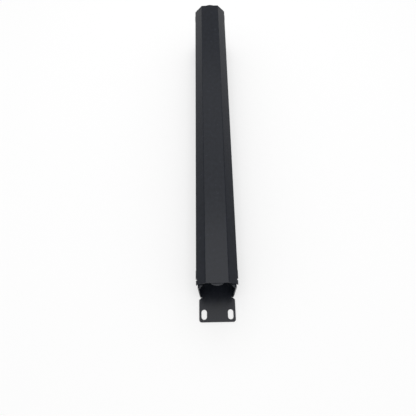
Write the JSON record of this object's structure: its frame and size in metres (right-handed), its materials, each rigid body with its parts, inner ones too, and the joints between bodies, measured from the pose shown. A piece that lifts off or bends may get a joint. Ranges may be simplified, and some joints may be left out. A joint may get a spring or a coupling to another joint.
{
  "type": "horizontal cable manager",
  "caption": "Slim steel finger channel with mounting ears and a bevelled clip-on cover, which guides patch cords across the front of a 19-inch rack.",
  "frame": {"origin": "centre of the rear face, which bears on the rack's rails", "axes": "+X across the rack, along the channel; +Y up the rack; +Z out of the rack's front, towards the cover"},
  "size_m": [0.4826, 0.045, 0.0755],
  "materials": {
    "channel_coat": "black powder coat with a fine texture on folded steel sheet",
    "cover_coat": "black powder coat with a fine texture on folded steel sheet",
    "clip_steel": "spring steel, blackened"
  },
  "bodies": {
    "channel": {"finger_channel": "channel_coat"},
    "cover": {"front_cover": "cover_coat", "clip_upper_right": "clip_steel", "clip_upper_left": "clip_steel", "clip_lower_right": "clip_steel", "clip_lower_left": "clip_steel"}
  },
  "joints": [
    {"name": "cover_lift", "type": "slide", "parent": "channel", "child": "cover", "axis": [0, 0, 1], "range_m": [0, 0.06]}
  ]
}
